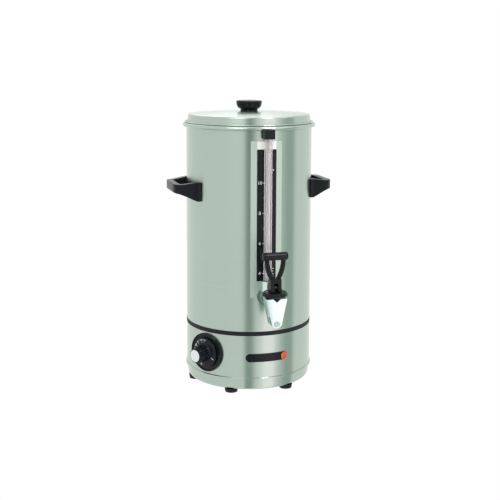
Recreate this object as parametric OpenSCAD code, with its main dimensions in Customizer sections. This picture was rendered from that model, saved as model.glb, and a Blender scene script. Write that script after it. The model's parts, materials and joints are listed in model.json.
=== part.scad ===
// Hot water urn with a lever tap, a sight glass and a thermostat in its base.
// Millimetres. The origin is on the table, on the urn's axis. +Z is up and the tap looks along -Y.

/* [Tank] */
// Outer diameter of the tank and of the base drum
tank_d = 224; // [214:1:250]
// Height of the tank from its floor to its rim
tank_h = 354.5; // [330:0.5:450]
// Thickness of the stainless sheet
sheet = 1; // [0.8:0.1:1.4]
// Diameter of the rolled bead at the rim
bead_d = 7; // [4:0.5:8]

/* [Base] */
// Height of a rubber foot
foot_h = 7; // [6:0.5:20]
// Diameter of a rubber foot
foot_d = 24; // [18:1:26]
// Distance from the pan's side wall in to the middle of a foot
foot_inset = 12; // [12:1:30]
// Number of feet
foot_count = 6; // [3:1:8]
// Angle of the first foot, from the tap towards +X
first_foot_angle = 27; // [0:1:59]
// How far the pan's side wall stands in from the drum
pan_inset = 2; // [2:0.5:8]
// Depth of the pan below the drum
pan_depth = 21; // [12:1:40]
// Radius of the pan's lower corner
pan_corner = 6; // [3:0.5:10]
// Height of the base drum
drum_h = 76; // [74:1:120]
// Height of the insulating band
band_h = 7.5; // [5:0.5:12]

/* [Lid] */
// How far the lid's flange reaches past the tank
lid_flange_over = 3.5; // [3:0.5:16]
// How far the lid's side wall stands in from the tank's outside
lid_wall_inset = 1.5; // [1:0.1:4]
// How far the lid's side wall leans in towards its top
lid_wall_lean = 1.5; // [0:0.1:6]
// Height of the lid over the tank's rim, without its knob
lid_h = 15; // [12:0.1:40]
// How far the lid's top rises from its edge to its knob
lid_crown = 4.2; // [0:0.1:10]
// Thickness of the lid's sheet
lid_sheet = 0.8; // [0.6:0.1:1.2]
// Diameter of the lid's knob
knob_d = 46; // [36:1:60]
// Height of the lid's knob
knob_h = 19; // [16:1:30]

/* [Handles] */
// How far a handle stands out from the tank
handle_reach = 33; // [28:1:45]
// Distance between a handle's legs at the tank
handle_spread = 92; // [84:1:110]
// Length of a handle's outer bar
handle_bar_l = 74; // [60:1:82]
// Height of a leg where it meets the tank
handle_foot_h = 27; // [22:1:40]
// Height of the outer bar
handle_bar_h = 12; // [10:1:16]
// Distance of the handles below the rim
handle_drop = 118; // [60:0.5:160]

/* [Gauge] */
// Outer diameter of the glass tube
glass_d = 13; // [11:0.5:14]
// Wall of the glass tube
glass_wall = 1.5; // [1:0.1:2]
// Distance of the glass tube's axis from the tank
glass_out = 11; // [10:0.5:14]
// Width of the steel plate behind the glass
plate_w = 55; // [40:1:60]
// Width of the black strip with the litre marks
strip_w = 34; // [26:1:38]
// Width and height of the block that closes the glass
cap_w = 17.5; // [16.5:0.5:20]

/* [Tap] */
// Height of the tap's shank over the tank's floor
tap_rise = 61.5; // [50:0.5:90]
// Distance of the tap's axis from the tank
tap_out = 52; // [46:1:70]
// Diameter of the threaded shank
shank_d = 16; // [14:0.5:18]
// Diameter of the rose at the tank wall
rose_d = 31; // [28:0.5:40]
// Drop from the shank to the end of the spout
spout_drop = 38.5; // [36:1:50]
// Width of the spout under the bonnet
spout_w = 35; // [31:1:38]
// Width of the spout at its end
spout_end_w = 18; // [17:0.5:22]
// Diameter of the black bonnet
bonnet_d = 43; // [38:1:50]
// Height of the bonnet
bonnet_h = 10; // [8:0.5:14]
// Width of the lever's neck
lever_neck_w = 18.5; // [16:0.5:22]
// Length of the bar on top of the lever
lever_bar_l = 44; // [38:1:50]
// Height of the lever over the bonnet
lever_h = 67; // [60:1:90]
// How far the lever tilts forward to open the tap
lever_tilt = 35; // [20:1:40]
// How far the stem lifts
stem_lift = 3; // [1:0.5:4]

/* [Controls] */
// Angle of the temperature dial, from the tap towards +X
dial_angle = -56; // [-75:1:-42]
// Height of the label plate and the lamp over the drum's lower edge
control_rise = 37; // [36:1:38]
// Height of the dial over the drum's lower edge
dial_rise = 39.5; // [36:0.5:41]
// Diameter of the black bezel behind the dial
bezel_d = 68; // [60:1:68]
// Diameter of the dial's marked skirt
skirt_d = 53; // [44:1:56]
// Diameter of the dial's grip
grip_d = 25.5; // [20:0.5:30]
// Length of the dial's grip
grip_l = 24; // [15:1:30]
// Height of the label plate
label_h = 14.3; // [10:0.1:20]
// Middle of the label plate, from the tap towards +X
label_angle = 2; // [-3:0.5:4]
// Half of the angle that the label plate covers
label_half_angle = 20; // [18:0.5:22]
// Angle of the pilot lamp, from the tap towards +X
lamp_angle = 18; // [12:0.5:18]
// Diameter of the pilot lamp's lens
lamp_d = 14; // [10:0.1:14]
// Diameter of the bore for the mains cord
cord_d = 8.4; // [7:0.1:9]

/* [Hidden] */

$fn = 180;
hull_fn = 32;

// Clearances
cut = 1;
seat_gap = 0.1;
part_gap = 0.3;
run_gap = 0.05;
fit_gap = 0.2;

// Radii and levels of the shell
tank_r = tank_d / 2;
tank_in_r = tank_r - sheet;
bead_r = bead_d / 2;
pan_d = tank_d - 2 * pan_inset;
foot_circle_d = pan_d - 2 * foot_inset;
lid_flange_d = tank_d + 2 * lid_flange_over;
lid_wall_d = tank_d - 2 * lid_wall_inset;
lid_top_d = lid_wall_d - 2 * lid_wall_lean;
pan_z = foot_h;
drum_z = pan_z + pan_depth;
band_z = drum_z + drum_h;
tank_z = band_z + band_h;
tank_in_z = tank_z + sheet;
rim_z = tank_z + tank_h;
lid_z = rim_z + part_gap;
lid_top_z = lid_z + lid_h;
knob_z = lid_top_z + lid_crown;
total_h = knob_z + knob_h;

// Base
drum_flare = 2;
drum_flare_h = 1.8;
band_proud = 0.3;
band_ring_w = 8;
band_spigot_w = 3;
band_spigot_h = 6;
pan_spigot_w = 1.2;
pan_spigot_h = 9;
pan_in_z = pan_z + sheet;
foot_r = foot_d / 2;
foot_taper_share = 0.9;
foot_screw_r = 2;
foot_screw_head_r = 4;
foot_screw_head_h = 2.4;
foot_recess = 3.4;
foot_screw_above = 5;
tie_rod_count = 3;
tie_rod_inset = 32;
tie_rod_circle_r = tank_r - tie_rod_inset;
tie_rod_r = 3;
tie_nut_r = 5.5;
tie_nut_h = 4;
tie_rod_spare = 1;

// Lid
lid_corner = 2.5;
lid_bead_r = 1.2;
lid_ring_h = 6;
lid_ring_gap = 0.7;
lid_ring_w = 1.2;
lid_crown_shares = [[0, 1], [0.16, 1], [0.4, 0.86], [0.65, 0.6], [0.85, 0.28], [0.95, 0.08]];
knob_shares = [
    [0, 0], [0.68, 0], [0.68, 0.16], [0.64, 0.2], [0.72, 0.27], [0.87, 0.45],
    [0.96, 0.64], [1, 0.8], [1, 0.94], [0.97, 1], [0.9, 0.97], [0, 0.94]
];
knob_screw_r = 2.5;
knob_screw_head_r = 5.5;
knob_screw_head_h = 3;
knob_screw_bite_share = 0.6;

// Handles
handle_z = rim_z - handle_drop;
handle_pad_w = 13;
handle_corner = 3;
handle_root = 9;
handle_bar_rise = 3.5;
handle_screw_share = 0.93;
handle_screw_angle = asin(handle_spread / tank_d) * handle_screw_share;
handle_screw_r = 2.5;
handle_screw_head_r = 5;
handle_screw_head_h = 3;
handle_screw_bite = 9;

// Gauge
glass_r = glass_d / 2;
glass_axis = tank_r + glass_out;
plate_t = 1.2;
strip_t = 0.6;
plate_top_drop = 25;
strip_foot_rise = 28;
strip_top_drop = 39;
cap_drop = 20.5;
cap_h = 16;
cap_z = rim_z - cap_drop;
cap_front = 8.5;
cap_back = 8;
cap_roof = 5.5;
bead_room = 0.6;
bolt_z = cap_z + 6.5;
bolt_r = 4;
bolt_head_r = 6.5;
bolt_head_h = 4;
bolt_bite = 3.2;
bolt_bore_r = 2;
washer_r = 7;

// Tap
tap_z = tank_z + tap_rise;
tap_axis = tank_r + tap_out;
shank_r = shank_d / 2;
shank_inside = 16;
water_r = 5;
rose_t = 3;
rose_lip = 1.2;
barrel_r = 13;
barrel_drop = 20;
bonnet_z = tap_z + 11;
bonnet_top_z = bonnet_z + bonnet_h;
plug_r = 8;
plug_h = 8;
spout_z = tap_z - spout_drop;
spout_end_r = spout_end_w / 2;
spout_depth = 24;
spout_top_drop = 2;
spout_disc_r = 5.5;
spout_disc_rise = 6.5;
spout_disc_depth = 0.6;
notch_w = 13;
notch_h = 6;
notch_depth = 2;
outlet_r = 5;
seat_rise = 9.5;
seat_z = spout_z + seat_rise;
chamber_r = plug_r + seat_gap;
back_nut_r = 14;
back_nut_h = 6;
tank_seal_r = 14;
tank_seal_t = 2;
boss_r = 7.9;
boss_h = 16;
boss_z = tap_z + boss_h;
riser_bore_r = 4;
socket_depth = 5;
socket_z = boss_z - socket_depth;
gland_nut_r = 10.5;
gland_nut_z = tap_z + 10;
gland_nut_top_z = tap_z + 30;
gland_seal_h = 4;

// Stem, lever and spring
pin_r = 1.5;
pin_rise = 7;
pin_z = bonnet_top_z + pin_rise;
stem_r = 2.5;
eye_r = 4.3;
eye_w = 6.8;
cup_r = 6.6;
cup_h = 8;
cup_lip = 1.6;
cup_hollow = 2;
slot_w = eye_w + 2 * seat_gap;
slot_h = 8;
neck_depth = 14;
neck_h = 15.5;
toe_h = 3;
lever_bar_r = 7;
lever_bar_end = 4;
lever_leg_r = 3.4;
lever_leg_in = 7.1;
lever_leg_root_in = 4;
lever_leg_root_h = 9.5;
lever_leg_sides = 12;
lever_leg_steps = 2;
lever_leg_shares = [
    [0, 0], [0.06, 0.1], [0.26, 0.19], [0.48, 0.29], [0.68, 0.4], [0.84, 0.52], [0.95, 0.66],
    [1, 0.8], [1, 1]
];
cam_rate = stem_lift / lever_tilt;
cam_radius = cam_rate * 180 / PI;
cam_step = 5;
spring_r = 5.2;
spring_wire_r = 0.6;
spring_curls = 6;
spring_rings = 8;
spring_sides = 6;
spring_z = seat_z + part_gap + cup_h + part_gap + spring_wire_r;
spring_top_z = bonnet_z - plug_h - part_gap - spring_wire_r;

// Controls
control_z = drum_z + control_rise;
dial_z = drum_z + dial_rise;
bezel_r = bezel_d / 2;
bezel_proud = 3;
bezel_face = tank_r + bezel_proud;
bezel_rim = 2;
bezel_dish = 1;
skirt_t = 3;
skirt_face = bezel_face + part_gap + skirt_t;
grip_r = grip_d / 2;
grip_base_r = 15;
grip_face = skirt_face + grip_l;
grip_flutes = 20;
flute_r = 0.9;
cap_disc_r = 10.5;
cap_disc_t = 1.2;
cap_disc_sink = 0.8;
spindle_r = 3;
spindle_l = 22;
bushing_r = 5;
thermostat_w = 34;
thermostat_h = 46;
thermostat_depth = 24;
thermostat_face = tank_r - 4;
bezel_screw_r = 1.75;
bezel_screw_head_r = 3.2;
bezel_screw_head_h = 0.7;
bezel_screw_spread = 14;
bezel_screw_bite = 6;
label_t = 1;
lens_proud = 3.6;
lens_back = 3;
lens_dome_share = 0.55;
lamp_body_r = 5.5;
lamp_body_l = 18;

// Electrics in the base
element_inset = 41;
element_ring_r = tank_in_r - element_inset;
element_r = 4.2;
element_rise = 18;
element_gap_angle = 25;
element_bend_r = 12;
element_tail = 22;
element_sides = 12;
element_z = tank_in_z + element_rise;
element_nut_r = 8;
element_nut_h = 5;
gasket_r = 9;
gasket_t = 2;
pocket_at = [-40, -30];
pocket_r = 5.5;
pocket_wall = 1;
pocket_above = 45;
pocket_below = 10;
pocket_roof = 2;
bulb_r = 4;
bulb_l = 40;
capillary_r = 1;
capillary_sides = 8;
capillary_steps = 5;
cutout_at = [32, -30];
cutout_r = 13;
cutout_h = 26;
button_r = 4;
button_flange_r = 6;
button_flange_h = 2;
button_below = 2.5;
button_travel = 2;
block_size = [44, 20, 18];
block_at = [34, 62];
block_ways = 3;
block_bore_r = 2.5;
block_bore_depth = 8;
stud_at = [-34, 72];
stud_r = 2;
stud_h = 14;
stud_nut_r = 4;
stud_nut_h = 3;
gland_angle = 180;
gland_rise = 22;
gland_z = drum_z + gland_rise;
gland_flange_r = 13;
gland_flange_t = 4;
gland_thread_r = 8;
gland_out = 18;
gland_dome_r = 10;
gland_inside = 14;
gland_nut_t = 5;
gland_inner_nut_r = 12;
cord_r = cord_d / 2;
lead_r = 1.5;
lead_sides = 8;
lead_steps = 4;
thermostat_end_r = thermostat_face - thermostat_depth - part_gap;
capillary_end_rise = 7;
lead_end_drop = 1;
function around(angle, r, z) = [r * sin(angle), -r * cos(angle), z];
// Routes of the capillary and of the leads, from end to end
capillary_route = [
    [-40, -30, 101.2], [-40, -30, 95], [-46, -33, 86], [-59, -40, 76.5],
    around(dial_angle, thermostat_end_r, dial_z + capillary_end_rise)
];
lead_routes = [
    [[20, 62, 19], [20, 62, 27], [18, 62, 36], [8, 64, 60], [12, 67, 78], [18.7, 68.5, 84],
        [18.7, 68.5, 89.2]],
    [[34, 62, 19], [34, 62, 27], [34, 60, 38], [20, 40, 52], [-20, -4, 60], [-52, -35, 65.5],
        around(dial_angle, thermostat_end_r, dial_z - lead_end_drop)],
    [[48, 62, 19], [48, 62, 27], [50, 58, 38], [58, 20, 50], [52, -36, 60], [30, -70, 64.5],
        [28.4, -87.4, 65]]
];

// Turns +Z to look outwards at an angle from the tap. Z then counts from the urn's axis.
module outward(angle, height) {
    rotate([0, 0, angle]) translate([0, 0, height]) rotate([90, 0, 0]) children();
}

module disc(r, from, to) {
    translate([0, 0, from]) cylinder(r = r, h = to - from);
}

module ring(outer, inner, from, to) {
    difference() {
        disc(outer, from, to);
        disc(inner, from - cut, to + cut);
    }
}

// Keeps what lies outside the tank wall
module outside_tank(gap) {
    difference() {
        children();
        disc(tank_r + gap, -cut, total_h);
    }
}

// Keeps what lies inside the tank wall
module inside_tank(gap) {
    intersection() {
        children();
        disc(tank_in_r - gap, 0, total_h);
    }
}

// A strip of sheet bent round the tank, in front
module bent_strip(inner, thickness, width, from, to) {
    intersection() {
        ring(inner + thickness, inner, from, to);
        translate([-width / 2, -tank_d, from - cut]) cube([width, tank_d, to - from + 2 * cut]);
    }
}

function unit(v) = v / norm(v);
function between(a, b, c, d, t) =
    (2 * b + (c - a) * t + (2 * a - 5 * b + 4 * c - d) * t * t + (3 * b - a - 3 * c + d) * t * t * t) / 2;
function smooth(p, steps) = [
    for (i = [0 : len(p) - 2]) for (s = [0 : steps - 1])
        between(p[max(i - 1, 0)], p[i], p[i + 1], p[min(i + 2, len(p) - 1)], s / steps),
    p[len(p) - 1]
];
function tangents(p) = [
    for (i = [0 : len(p) - 1]) unit(p[min(i + 1, len(p) - 1)] - p[max(i - 1, 0)])
];
function sideways(t) = [
    for (i = 0, u = unit(cross(t[0], abs(t[0].z) < 0.9 ? [0, 0, 1] : [1, 0, 0])); i < len(t);
        i = i + 1, u = i < len(t) ? unit(u - t[i] * (u * t[i])) : u) u
];

// A round tube along a list of points
module tube_along(p, r, sides) {
    t = tangents(p);
    u = sideways(t);
    last = (len(p) - 1) * sides;
    polyhedron(
        points = [
            for (i = [0 : len(p) - 1]) for (k = [0 : sides - 1])
                p[i] + r * (cos(360 * k / sides) * u[i] + sin(360 * k / sides) * cross(t[i], u[i]))
        ],
        faces = [
            for (i = [0 : len(p) - 2]) for (k = [0 : sides - 1])
                let (a = i * sides + k, b = i * sides + (k + 1) % sides)
                each [[a, a + sides, b + sides], [a, b + sides, b]],
            for (k = [1 : sides - 2]) each [[0, k, k + 1], [last, last + k + 1, last + k]]
        ]
    );
}

// Lid

module lid_shell() {
    corner = [lid_top_d / 2 - lid_corner, lid_top_z - lid_corner];
    wall = lid_wall_d / 2;
    bead = [lid_flange_d / 2 - lid_bead_r, lid_z + lid_bead_r];
    color("gainsboro") difference() {
        rotate_extrude() polygon([
            for (s = lid_crown_shares) [s.x * corner.x, lid_top_z + s.y * lid_crown],
            for (a = [90 : -15 : 0]) corner + lid_corner * [cos(a), sin(a)],
            [wall, lid_z + lid_sheet],
            for (a = [195 : -15 : -90]) bead + lid_bead_r * [cos(a), sin(a)],
            [wall - lid_sheet, lid_z],
            for (a = [0 : 15 : 90]) corner + (lid_corner - lid_sheet) * [cos(a), sin(a)],
            for (i = [len(lid_crown_shares) - 1 : -1 : 0])
                let (s = lid_crown_shares[i])
                [s.x * corner.x, lid_top_z - lid_sheet + s.y * lid_crown]
        ]);
        disc(knob_screw_r + fit_gap, knob_z - lid_sheet - cut, knob_z + cut);
    }
}

module lid_locating_ring() {
    outer = tank_in_r - lid_ring_gap;
    color("silver") ring(outer, outer - lid_ring_w, lid_z - lid_ring_h, lid_z);
}

module lid_knob() {
    color("#1a1b1d") difference() {
        translate([0, 0, knob_z])
            rotate_extrude() polygon([for (p = knob_shares) [p.x * knob_d / 2, p.y * knob_h]]);
        disc(knob_screw_r + fit_gap, knob_z - cut, knob_z + knob_screw_bite_share * knob_h + part_gap);
    }
}

module lid_knob_screw() {
    under = knob_z - lid_sheet;
    color("silver") {
        disc(knob_screw_head_r, under - knob_screw_head_h, under);
        disc(knob_screw_r, under - cut, knob_z + knob_screw_bite_share * knob_h);
    }
}

// Tank and base

module tank() {
    color("#b9c4bb") difference() {
        rotate_extrude() {
            translate([0, tank_z]) square([tank_r, sheet]);
            translate([tank_in_r, tank_z]) square([sheet, tank_h - bead_r]);
            translate([tank_in_r + bead_r, rim_z - bead_r]) circle(bead_r);
            translate([tank_r + bead_r, rim_z - bead_r]) circle(bead_r);
            translate([tank_in_r + bead_r, rim_z - bead_d]) square([sheet, bead_d]);
        }
        outward(0, tap_z) disc(shank_r + fit_gap, tank_in_r - shank_inside, tank_r + cut);
        outward(0, bolt_z) disc(bolt_r + fit_gap, tank_in_r - shank_inside, tank_r + cut);
        at_handle_screws() disc(handle_screw_r + fit_gap, tank_in_r - shank_inside, tank_r + cut);
        at_element_legs() disc(element_r + fit_gap, tank_z - cut, tank_in_z + cut);
        translate(pocket_at) disc(pocket_r + seat_gap, tank_z - cut, tank_in_z + cut);
    }
}

module insulating_band() {
    spigot_r = tank_in_r - seat_gap;
    color("#1c1d1f") {
        ring(tank_r + band_proud, tank_r - band_ring_w, band_z, tank_z);
        ring(spigot_r, spigot_r - band_spigot_w, band_z - band_spigot_h, band_z);
    }
}

module base_drum() {
    color("#b9c4bb") difference() {
        union() {
            ring(tank_r, tank_in_r, drum_z, band_z);
            translate([0, 0, drum_z]) rotate_extrude()
                polygon([
                    [tank_in_r, 0], [tank_r + drum_flare, 0],
                    [tank_r + drum_flare, sheet], [tank_r, drum_flare_h], [tank_in_r, drum_flare_h]
                ]);
        }
        outward(dial_angle, dial_z) {
            disc(bushing_r + fit_gap, 0, tank_d);
            at_bezel_screws() disc(bezel_screw_r + fit_gap, 0, tank_d);
        }
        outward(lamp_angle, control_z) disc(lamp_body_r + fit_gap, 0, tank_d);
        outward(gland_angle, gland_z) disc(gland_thread_r + fit_gap, 0, tank_d);
    }
}

// The floor dish: its flange carries the drum and its upstand centres it
module base_pan() {
    outer = pan_d / 2;
    middle = [outer - pan_corner, pan_z + pan_corner];
    upstand = tank_in_r - seat_gap;
    color("#aab4ac") difference() {
        rotate_extrude() {
            polygon([
                [0, pan_z],
                for (a = [-90 : 15 : 0]) middle + pan_corner * [cos(a), sin(a)],
                [outer, drum_z - sheet],
                [tank_r + drum_flare, drum_z - sheet],
                [tank_r + drum_flare, drum_z],
                [outer - sheet, drum_z],
                for (a = [0 : -15 : -90]) middle + (pan_corner - sheet) * [cos(a), sin(a)],
                [0, pan_in_z]
            ]);
            translate([upstand - pan_spigot_w, drum_z - sheet])
                square([pan_spigot_w, pan_spigot_h]);
            translate([outer - sheet, drum_z - sheet])
                square([upstand - outer + sheet, sheet]);
        }
        at_feet() disc(foot_screw_r, pan_z - cut, pan_in_z + cut);
        at_tie_rods() disc(tie_rod_r + fit_gap, pan_z - cut, pan_in_z + cut);
        translate(cutout_at) disc(button_r + fit_gap, pan_z - cut, pan_in_z + cut);
    }
}

module at_foot(number) {
    rotate([0, 0, first_foot_angle + 360 * (number - 1) / foot_count])
        translate([0, -foot_circle_d / 2, 0]) children();
}

module at_feet() {
    for (i = [1 : foot_count]) at_foot(i) children();
}

module foot(number) {
    color("#222326") at_foot(number) difference() {
        cylinder(r1 = foot_r * foot_taper_share, r2 = foot_r, h = foot_h);
        disc(foot_screw_head_r + fit_gap, -cut, foot_recess);
        disc(foot_screw_r + fit_gap, 0, foot_h + cut);
    }
}

module foot_screws() {
    color("silver") at_feet() {
        disc(foot_screw_head_r, foot_recess - foot_screw_head_h, foot_recess);
        disc(foot_screw_r - run_gap, foot_recess - sheet, pan_in_z + foot_screw_above);
    }
}

module at_tie_rods() {
    for (i = [0 : tie_rod_count - 1])
        rotate([0, 0, 360 * i / tie_rod_count]) translate([0, -tie_rod_circle_r, 0]) children();
}

module tie_rods() {
    color("silver") at_tie_rods() disc(tie_rod_r, pan_z - tie_nut_h - tie_rod_spare, tank_z);
}

module tie_rod_nuts() {
    color("silver") at_tie_rods() difference() {
        translate([0, 0, pan_z - tie_nut_h]) cylinder(r = tie_nut_r, h = tie_nut_h, $fn = 6);
        disc(tie_rod_r + run_gap, pan_z - tie_nut_h - cut, pan_z + cut);
    }
}

// Heating and its controls

// The element runs from one leg up, round its ring and down the other leg
function element_ring(angle) =
    element_ring_r * [sin(angle), -cos(angle), 0] + [0, 0, element_z];
function element_bend(side, bend) =
    let (end = side * (180 - element_gap_angle))
    element_ring(end) + side * element_bend_r * sin(bend) * [cos(end), sin(end), 0]
        - element_bend_r * (1 - cos(bend)) * [0, 0, 1];
function element_foot(side) =
    let (leg = element_bend(side, 90)) [leg.x, leg.y, tank_z - element_tail];
element_path = [
    element_foot(-1),
    for (bend = [90 : -15 : 0]) element_bend(-1, bend),
    for (angle = [10 : 10 : 350 - 2 * element_gap_angle])
        element_ring(angle + element_gap_angle - 180),
    for (bend = [0 : 15 : 90]) element_bend(1, bend),
    element_foot(1)
];

module at_element_legs() {
    for (side = [-1, 1]) translate([element_foot(side).x, element_foot(side).y, 0]) children();
}

module heating_element() {
    color("#8d9096") tube_along(element_path, element_r, element_sides);
}

module element_gaskets() {
    color("#b5532f") at_element_legs()
        ring(gasket_r, element_r + seat_gap, tank_z - gasket_t, tank_z);
}

module element_nuts() {
    color("#c9a959") at_element_legs() difference() {
        translate([0, 0, tank_z - gasket_t - element_nut_h])
            cylinder(r = element_nut_r, h = element_nut_h, $fn = 6);
        disc(element_r + seat_gap, tank_z - gasket_t - element_nut_h - cut, tank_z);
    }
}

module thermostat_body() {
    back = thermostat_face - thermostat_depth;
    color("#d9d4c5") outward(dial_angle, dial_z) difference() {
        union() {
            translate([-thermostat_w / 2, -thermostat_h / 2, back])
                cube([thermostat_w, thermostat_h, thermostat_depth]);
            disc(bushing_r, back, bezel_face - seat_gap);
        }
        disc(spindle_r + run_gap, skirt_face - spindle_l - part_gap, bezel_face + cut);
        at_bezel_screws()
            disc(bezel_screw_r, thermostat_face - bezel_screw_bite, thermostat_face + cut);
    }
}

module thermostat_pocket() {
    color("silver") translate(pocket_at)
        difference() {
            disc(pocket_r, tank_z - pocket_below, tank_in_z + pocket_above);
            disc(pocket_r - pocket_wall, tank_z - pocket_below - cut,
                tank_in_z + pocket_above - pocket_roof);
        }
}

module thermostat_bulb() {
    color("#b8733f") translate(pocket_at) disc(bulb_r, tank_z - pocket_below, tank_z - pocket_below + bulb_l);
}

module capillary_tube() {
    color("#b8733f")
        tube_along(smooth(capillary_route, capillary_steps), capillary_r, capillary_sides);
}

module at_bezel_screws() {
    for (side = [-1, 1]) translate([0, side * bezel_screw_spread, 0]) children();
}

module thermostat_screws() {
    head_top = bezel_face - bezel_dish - seat_gap;
    color("silver") outward(dial_angle, dial_z) at_bezel_screws() {
        disc(bezel_screw_head_r, head_top - bezel_screw_head_h, head_top);
        disc(bezel_screw_r - run_gap, thermostat_face - bezel_screw_bite + part_gap, head_top);
    }
}

module cutout_body() {
    color("#e4dfd0") translate(cutout_at) difference() {
        disc(cutout_r, pan_in_z, pan_in_z + cutout_h);
        disc(button_r + run_gap, pan_in_z - cut, pan_in_z + button_flange_h + button_travel + cut);
        disc(button_flange_r + run_gap, pan_in_z + part_gap,
            pan_in_z + part_gap + button_flange_h + button_travel + part_gap);
    }
}

module reset_button() {
    color("#b3261e") translate(cutout_at) {
        disc(button_r, pan_z - button_below, pan_in_z + part_gap + button_flange_h);
        disc(button_flange_r, pan_in_z + part_gap + seat_gap, pan_in_z + part_gap + button_flange_h);
    }
}

// Dial, label and lamp

module dial_bezel() {
    color("#161719") outward(dial_angle, dial_z) difference() {
        disc(bezel_r, 0, bezel_face);
        disc(bezel_r - bezel_rim, bezel_face - bezel_dish, bezel_face + cut);
        disc(bushing_r + fit_gap, 0, bezel_face + cut);
        at_bezel_screws() {
            disc(bezel_screw_r + fit_gap, 0, bezel_face);
            disc(bezel_screw_head_r + fit_gap,
                bezel_face - bezel_dish - seat_gap - bezel_screw_head_h, bezel_face + cut);
        }
        rotate([90, 0, 0]) cylinder(r = tank_r + seat_gap, h = tank_d, center = true);
    }
}

module control_knob() {
    color("#141517") outward(dial_angle, dial_z) difference() {
        union() {
            disc(skirt_d / 2, skirt_face - skirt_t, skirt_face);
            translate([0, 0, skirt_face]) cylinder(r1 = grip_base_r, r2 = grip_r, h = grip_l);
        }
        for (i = [0 : grip_flutes - 1]) rotate([0, 0, 360 * i / grip_flutes])
            translate([grip_base_r + flute_r / 2, 0, 0]) disc(flute_r, skirt_face + cut, grip_face + cut);
        disc(cap_disc_r + fit_gap, grip_face - cap_disc_sink, grip_face + cut);
        disc(spindle_r + run_gap, 0, skirt_face + grip_l / 2);
    }
}

module knob_cap() {
    color("#d5d8d6") outward(dial_angle, dial_z)
        disc(cap_disc_r, grip_face - cap_disc_sink, grip_face - cap_disc_sink + cap_disc_t);
}

module knob_spindle() {
    color("silver") outward(dial_angle, dial_z)
        disc(spindle_r, skirt_face - spindle_l, skirt_face + grip_l / 2 - part_gap);
}

module label_plate() {
    half = tank_r * sin(label_half_angle);
    color("#101113") intersection() {
        ring(tank_r + seat_gap + label_t, tank_r + seat_gap, drum_z, band_z);
        difference() {
            outward(label_angle, control_z) {
                translate([-half + label_h / 2, -label_h / 2, 0])
                    cube([2 * half - label_h, label_h, tank_d]);
                for (side = [-1, 1]) translate([side * (half - label_h / 2), 0, 0])
                    disc(label_h / 2, 0, tank_d);
            }
            outward(lamp_angle, control_z) disc(lamp_body_r + fit_gap, 0, tank_d);
        }
    }
}

module pilot_lamp_lens() {
    lens_r = lamp_d / 2;
    face = tank_r + lens_proud;
    back = tank_r + label_t + 2 * seat_gap;
    color("#e8481c") outward(lamp_angle, control_z) translate([0, 0, back])
        rotate_extrude() polygon([
            [0, -lens_back], [lamp_body_r, -lens_back], [lamp_body_r, 0], [lens_r, 0],
            [lens_r, (face - back) * lens_dome_share], [lens_r * lens_dome_share, face - back],
            [0, face - back]
        ]);
}

module pilot_lamp_body() {
    front = tank_r + label_t + 2 * seat_gap - lens_back;
    color("#efe9dc") outward(lamp_angle, control_z)
        disc(lamp_body_r, front - lamp_body_l, front);
}

// Supply side of the base

module terminal_block() {
    color("#ece6d6") translate([block_at.x, block_at.y, pan_in_z]) difference() {
        translate([-block_size.x / 2, -block_size.y / 2, 0]) cube(block_size);
        for (i = [0 : block_ways - 1])
            translate([block_size.x * ((i + 1 / 2) / block_ways - 1 / 2), 0, 0])
                disc(block_bore_r, block_size.z - block_bore_depth, block_size.z + cut);
    }
}

module wiring_leads() {
    color("#c0392b") for (route = lead_routes)
        tube_along(smooth(route, lead_steps), lead_r, lead_sides);
}

module earth_stud() {
    color("#c9a959") translate([stud_at.x, stud_at.y, pan_in_z]) {
        cylinder(r = stud_r, h = stud_h);
        cylinder(r = stud_nut_r, h = stud_nut_h, $fn = 6);
    }
}

module cord_gland() {
    color("#202124") outward(gland_angle, gland_z) difference() {
        union() {
            outside_gland_flange();
            disc(gland_dome_r, tank_r, tank_r + gland_out);
            disc(gland_thread_r, tank_in_r - gland_inside, tank_r + gland_flange_t);
        }
        disc(cord_r, tank_in_r - gland_inside - cut, tank_r + gland_out + cut);
    }
}

module outside_gland_flange() {
    difference() {
        disc(gland_flange_r, 0, tank_r + gland_flange_t);
        rotate([90, 0, 0]) cylinder(r = tank_r + seat_gap, h = tank_d, center = true);
    }
}

module cord_gland_nut() {
    color("#202124") outward(gland_angle, gland_z) difference() {
        translate([0, 0, tank_in_r - gland_nut_t - sheet])
            cylinder(r = gland_inner_nut_r, h = gland_nut_t, $fn = 6);
        disc(gland_thread_r + run_gap, 0, tank_r);
    }
}

// Gauge

module at_glass() {
    translate([0, -glass_axis, 0]) children();
}

module gauge_backplate() {
    color("#c3ccc4") difference() {
        bent_strip(tank_r + seat_gap, plate_t, plate_w, tap_z - sheet, rim_z - plate_top_drop);
        outward(0, tap_z) disc(rose_d / 2 + part_gap, 0, tank_d);
    }
}

module scale_strip() {
    color("#15181a") difference() {
        bent_strip(tank_r + plate_t + 2 * seat_gap, strip_t, strip_w,
            tap_z + strip_foot_rise, rim_z - strip_top_drop);
        at_glass() disc(glass_r + fit_gap, 0, total_h);
    }
}

module gauge_glass() {
    color("#dfeeee88") at_glass()
        ring(glass_r, glass_r - glass_wall, socket_z + part_gap, cap_z + cap_h - cap_roof - part_gap);
}

module gauge_top_cap() {
    color("#1b1c1e") difference() {
        at_glass() translate([-cap_w / 2, -cap_front, cap_z])
            cube([cap_w, cap_front + cap_back, cap_h]);
        at_glass() disc(glass_r + fit_gap, cap_z - cut, cap_z + cap_h - cap_roof);
        outward(0, bolt_z) disc(bolt_r + fit_gap, 0, glass_axis - glass_r + bolt_bite - part_gap);
        disc(tank_r + bead_d + bead_room, rim_z - bead_d - bead_room, total_h);
        disc(tank_r + washer_room(), 0, total_h);
    }
}

function washer_room() = 2 * seat_gap + plate_t;

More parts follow.
